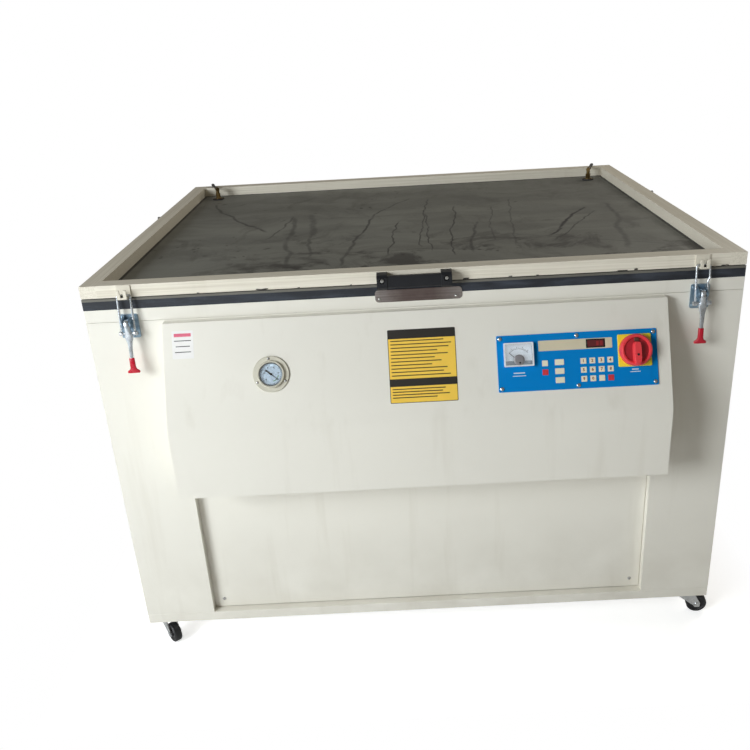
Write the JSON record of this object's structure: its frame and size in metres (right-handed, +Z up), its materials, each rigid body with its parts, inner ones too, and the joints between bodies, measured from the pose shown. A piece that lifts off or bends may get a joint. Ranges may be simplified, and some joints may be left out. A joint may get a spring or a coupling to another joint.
{
  "type": "screen printing exposure unit",
  "caption": "Free-standing screen exposure cabinet on swivel casters with a glass bed, hinged vacuum lid and rubber blanket, draw latches, gas struts and a sloped control console.",
  "frame": {"origin": "on the floor under the middle of the whole unit, struts, console and rear elbows included", "axes": "+X to the right as seen from the front, +Y to the rear, +Z up; the control console faces -Y"},
  "size_m": [1.444, 1.296, 0.9613],
  "materials": {
    "cream_paint": "satin powder coat",
    "seal_rubber": "matt",
    "blanket_rubber": "dusty matt",
    "bright_zinc": "zinc plated",
    "blue_zinc": "blue zinc plated",
    "ivory_zinc": "satin",
    "guard_steel": "brushed",
    "gauge_steel": "satin",
    "brass_fitting": "machined",
    "black_plastic": "satin",
    "needle_black": "matt",
    "red_plastic": "gloss",
    "yellow_plastic": "gloss",
    "white_plastic": "gloss",
    "blue_paint": "satin",
    "blue_film": "printed film",
    "clear_window": "clear",
    "float_glass": "clear",
    "lamp_glass": "clear",
    "ceramic": "glazed",
    "bright_aluminium": "polished",
    "grey_casting": "painted casting",
    "dark_steel": "satin",
    "board_green": "satin",
    "hose_black": "satin",
    "wheel_tyre": "matt"
  },
  "bodies": {
    "cabinet": {"base_frame": "cream_paint", "side_panels": "cream_paint", "rear_panel": "cream_paint", "front_fascia": "cream_paint", "access_panel": "cream_paint", "top_frame": "cream_paint", "console_cover": "cream_paint", "glass_plate": "float_glass", "gasket": "seal_rubber", "panel_screws": "bright_zinc", "latch_bases": "blue_zinc", "hinge_cabinet_leaves": "bright_zinc", "guard_plate": "guard_steel", "gauge_case": "gauge_steel", "instrument_windows": "clear_window", "control_plate": "blue_paint", "keypad_film": "blue_film", "meter_case": "white_plastic", "switch_plate": "yellow_plastic", "caster_plates": "bright_zinc", "uv_lamp": "lamp_glass", "lamp_holders": "ceramic", "reflector": "bright_aluminium", "fan_housing": "dark_steel", "vacuum_pump": "grey_casting", "ballast": "dark_steel", "control_board": "board_green", "vacuum_manifold": "grey_casting", "mains_gland": "black_plastic"},
    "lid": {"lid_frame": "cream_paint", "rubber_blanket": "blanket_rubber", "blanket_strips": "bright_aluminium", "lid_handle": "black_plastic", "latch_keepers": "ivory_zinc", "hinge_lid_leaves": "bright_zinc", "hose_nipples": "brass_fitting", "vacuum_hoses": "hose_black"},
    "strut_cylinder_left": {"strut_cylinder_left": "dark_steel"},
    "strut_rod_left": {"strut_rod_left": "bright_zinc"},
    "latch_lever_left": {"latch_lever_left": "bright_zinc"},
    "latch_trunnion_left": {"latch_trunnion_left": "bright_zinc"},
    "latch_bar_left": {"latch_bar_left": "bright_zinc"},
    "strut_cylinder_right": {"strut_cylinder_right": "dark_steel"},
    "strut_rod_right": {"strut_rod_right": "bright_zinc"},
    "latch_lever_right": {"latch_lever_right": "bright_zinc"},
    "latch_trunnion_right": {"latch_trunnion_right": "bright_zinc"},
    "latch_bar_right": {"latch_bar_right": "bright_zinc"},
    "caster_fork_front_left": {"caster_fork_front_left": "bright_zinc"},
    "caster_wheel_front_left": {"caster_wheel_front_left": "wheel_tyre"},
    "caster_fork_front_right": {"caster_fork_front_right": "bright_zinc"},
    "caster_wheel_front_right": {"caster_wheel_front_right": "wheel_tyre"},
    "caster_fork_rear_left": {"caster_fork_rear_left": "bright_zinc"},
    "caster_wheel_rear_left": {"caster_wheel_rear_left": "wheel_tyre"},
    "caster_fork_rear_right": {"caster_fork_rear_right": "bright_zinc"},
    "caster_wheel_rear_right": {"caster_wheel_rear_right": "wheel_tyre"},
    "gauge_needle": {"gauge_needle": "needle_black"},
    "meter_needle": {"meter_needle": "needle_black"},
    "switch_knob": {"switch_knob": "red_plastic"},
    "fan_rotor": {"fan_rotor": "black_plastic"}
  },
  "joints": [
    {"name": "lid_hinge", "type": "hinge", "parent": "cabinet", "child": "lid", "pos_m": [0, 0.622, 0.91], "axis": [-1, 0, 0], "range_deg": [0, 60], "deforming": ["vacuum_hoses"]},
    {"name": "strut_pivot_left", "type": "hinge", "parent": "cabinet", "child": "strut_cylinder_left", "pos_m": [-0.713, 0.592, 0.78], "axis": [-1, 0, 0], "range_deg": [0, 51.49]},
    {"name": "strut_stroke_left", "type": "slide", "parent": "strut_cylinder_left", "child": "strut_rod_left", "axis": [0, -0.9348, 0.3551], "range_m": [0, 0.11151]},
    {"name": "latch_lever_left_swing", "type": "hinge", "parent": "cabinet", "child": "latch_lever_left", "pos_m": [-0.607, -0.555, 0.87], "axis": [-1, 0, 0], "range_deg": [0, 105]},
    {"name": "latch_trunnion_left_turn", "type": "hinge", "parent": "latch_lever_left", "child": "latch_trunnion_left", "pos_m": [-0.607, -0.5535, 0.849], "axis": [-1, 0, 0], "range_deg": [-87.16, 0]},
    {"name": "latch_bar_left_swing", "type": "hinge", "parent": "latch_trunnion_left", "child": "latch_bar_left", "pos_m": [-0.607, -0.5535, 0.849], "axis": [1, 0, 0], "range_deg": [0, 60]},
    {"name": "strut_pivot_right", "type": "hinge", "parent": "cabinet", "child": "strut_cylinder_right", "pos_m": [0.713, 0.592, 0.78], "axis": [-1, 0, 0], "range_deg": [0, 51.49]},
    {"name": "strut_stroke_right", "type": "slide", "parent": "strut_cylinder_right", "child": "strut_rod_right", "axis": [0, -0.9348, 0.3551], "range_m": [0, 0.11151]},
    {"name": "latch_lever_right_swing", "type": "hinge", "parent": "cabinet", "child": "latch_lever_right", "pos_m": [0.607, -0.555, 0.87], "axis": [-1, 0, 0], "range_deg": [0, 105]},
    {"name": "latch_trunnion_right_turn", "type": "hinge", "parent": "latch_lever_right", "child": "latch_trunnion_right", "pos_m": [0.607, -0.5535, 0.849], "axis": [-1, 0, 0], "range_deg": [-87.16, 0]},
    {"name": "latch_bar_right_swing", "type": "hinge", "parent": "latch_trunnion_right", "child": "latch_bar_right", "pos_m": [0.607, -0.5535, 0.849], "axis": [1, 0, 0], "range_deg": [0, 60]},
    {"name": "caster_front_left_swivel", "type": "hinge", "parent": "cabinet", "child": "caster_fork_front_left", "pos_m": [-0.664, -0.499, 0.057], "axis": [0, 0, 1], "continuous": true},
    {"name": "caster_front_left_roll", "type": "hinge", "parent": "caster_fork_front_left", "child": "caster_wheel_front_left", "pos_m": [-0.64857, -0.51739, 0.025], "axis": [-0.766, -0.6428, 0], "continuous": true},
    {"name": "caster_front_right_swivel", "type": "hinge", "parent": "cabinet", "child": "caster_fork_front_right", "pos_m": [0.664, -0.499, 0.057], "axis": [0, 0, 1], "continuous": true},
    {"name": "caster_front_right_roll", "type": "hinge", "parent": "caster_fork_front_right", "child": "caster_wheel_front_right", "pos_m": [0.68782, -0.50192, 0.025], "axis": [-0.1219, -0.9925, 0], "continuous": true},
    {"name": "caster_rear_left_swivel", "type": "hinge", "parent": "cabinet", "child": "caster_fork_rear_left", "pos_m": [-0.664, 0.579, 0.057], "axis": [0, 0, 1], "continuous": true},
    {"name": "caster_rear_left_roll", "type": "hinge", "parent": "caster_fork_rear_left", "child": "caster_wheel_rear_left", "pos_m": [-0.67414, 0.60075, 0.025], "axis": [0.9063, 0.4226, 0], "continuous": true},
    {"name": "caster_rear_right_swivel", "type": "hinge", "parent": "cabinet", "child": "caster_fork_rear_right", "pos_m": [0.664, 0.579, 0.057], "axis": [0, 0, 1], "continuous": true},
    {"name": "caster_rear_right_roll", "type": "hinge", "parent": "caster_fork_rear_right", "child": "caster_wheel_rear_right", "pos_m": [0.67221, 0.60155, 0.025], "axis": [0.9397, -0.342, 0], "continuous": true},
    {"name": "gauge_needle_turn", "type": "hinge", "parent": "cabinet", "child": "gauge_needle", "pos_m": [-0.308, -0.60384, 0.759], "axis": [0, -0.9169, 0.399], "range_deg": [0, 256]},
    {"name": "meter_needle_turn", "type": "hinge", "parent": "cabinet", "child": "meter_needle", "pos_m": [0.2137, -0.60622, 0.76004], "axis": [0, 0.9169, -0.399], "range_deg": [0, 96]},
    {"name": "switch_knob_turn", "type": "hinge", "parent": "cabinet", "child": "switch_knob", "pos_m": [0.457, -0.60587, 0.77188], "axis": [0, 0.9169, -0.399], "range_deg": [0, 90]},
    {"name": "fan_spin", "type": "hinge", "parent": "cabinet", "child": "fan_rotor", "pos_m": [0, 0.585, 0.3], "axis": [0, 1, 0], "continuous": true}
  ],
  "couplings": [
    {"joint": "strut_pivot_left", "follows": "lid_hinge", "ratio": 0.85806},
    {"joint": "strut_stroke_left", "follows": "lid_hinge", "m_per_rad": 0.10648},
    {"joint": "latch_trunnion_left_turn", "follows": "latch_lever_left_swing", "ratio": -0.83},
    {"joint": "strut_pivot_right", "follows": "lid_hinge", "ratio": 0.85806},
    {"joint": "strut_stroke_right", "follows": "lid_hinge", "m_per_rad": 0.10648},
    {"joint": "latch_trunnion_right_turn", "follows": "latch_lever_right_swing", "ratio": -0.83}
  ]
}
